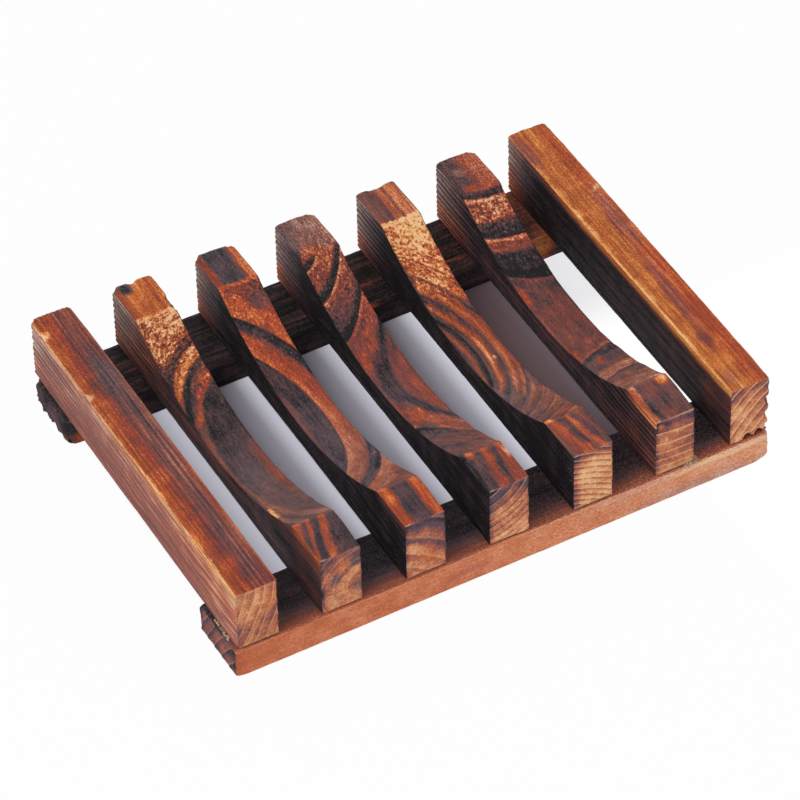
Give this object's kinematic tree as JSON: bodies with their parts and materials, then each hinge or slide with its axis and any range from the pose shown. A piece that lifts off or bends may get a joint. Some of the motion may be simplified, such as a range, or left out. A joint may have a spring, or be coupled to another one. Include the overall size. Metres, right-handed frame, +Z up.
{
  "type": "soap dish",
  "caption": "Slatted charred-wood soap dish: scooped slats between two straight outer slats on two flat rails, open below so that water drains away.",
  "frame": {"origin": "on the table surface, under the middle of the dish's footprint", "axes": "+X along the rails from the left outer slat to the right one, +Y along the slats from the front rail to the rear rail, +Z up"},
  "size_m": [0.12, 0.089, 0.0218],
  "materials": {
    "rail_wood": "charred, brushed and lacquered softwood, satin to gloss",
    "outer_slat_wood": "charred, brushed and lacquered softwood, satin to gloss",
    "scooped_slat_wood": "charred, brushed and lacquered softwood, satin to gloss",
    "brad_steel": "bright drawn wire, slightly dulled"
  },
  "bodies": {
    "root": {"front_rail": "rail_wood", "rear_rail": "rail_wood", "left_outer_slat": "outer_slat_wood", "right_outer_slat": "outer_slat_wood", "scooped_slat_1": "scooped_slat_wood", "scooped_slat_2": "scooped_slat_wood", "scooped_slat_3": "scooped_slat_wood", "scooped_slat_4": "scooped_slat_wood", "scooped_slat_5": "scooped_slat_wood", "front_rail_brads": "brad_steel", "rear_rail_brads": "brad_steel"}
  },
  "joints": []
}
